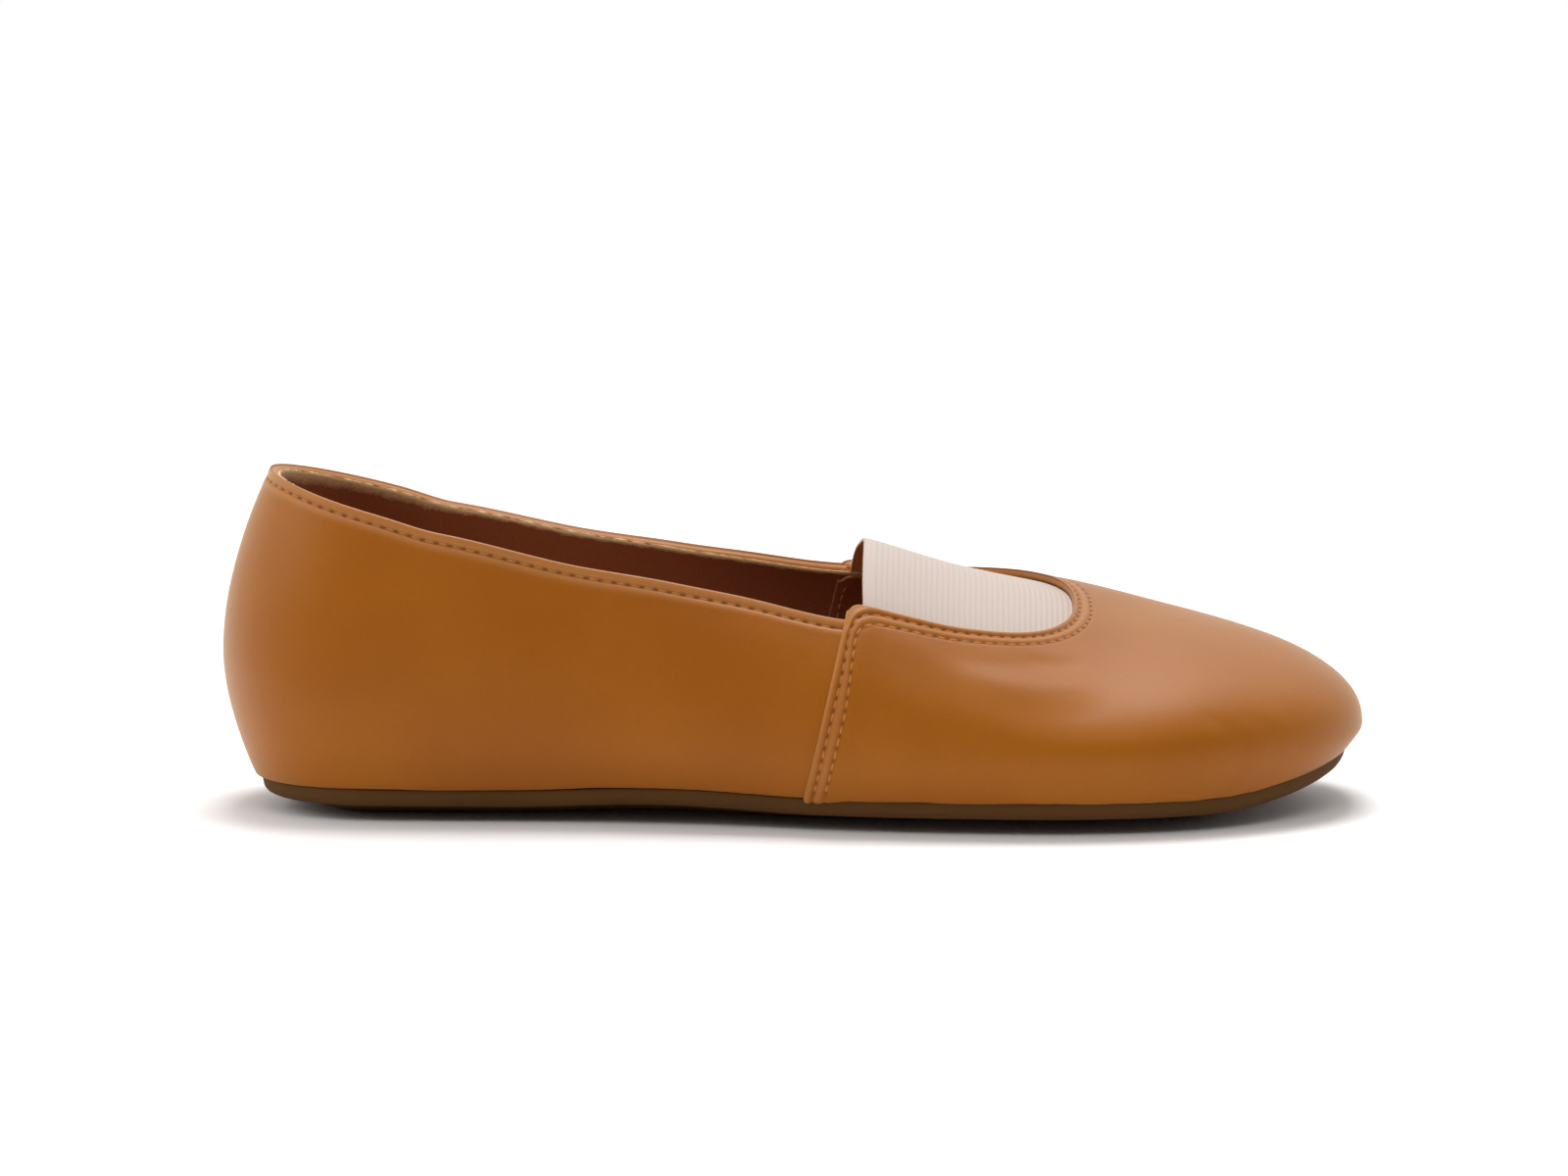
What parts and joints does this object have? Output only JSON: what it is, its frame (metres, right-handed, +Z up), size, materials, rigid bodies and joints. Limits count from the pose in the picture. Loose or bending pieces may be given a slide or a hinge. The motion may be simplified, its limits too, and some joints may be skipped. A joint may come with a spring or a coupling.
{
  "type": "flat shoe",
  "caption": "Slip-on flat shoe for the right foot: low leather upper with an open collar, a wide elastic band over the instep and a thin flexible sole with a slight toe spring.",
  "frame": {"origin": "on the floor, below the middle of the shoe's box", "axes": "+X from heel to toe, +Y from the outer side to the inner side of the foot, +Z up from the floor"},
  "size_m": [0.25, 0.092, 0.0755],
  "materials": {
    "leather": "smooth, satin",
    "rubber": "matt",
    "sock": "brushed",
    "elastic": "ribbed weave"
  },
  "bodies": {
    "root": {"upper": "leather", "outsole": "rubber", "insole": "sock", "elastic_gore": "elastic"}
  },
  "joints": []
}
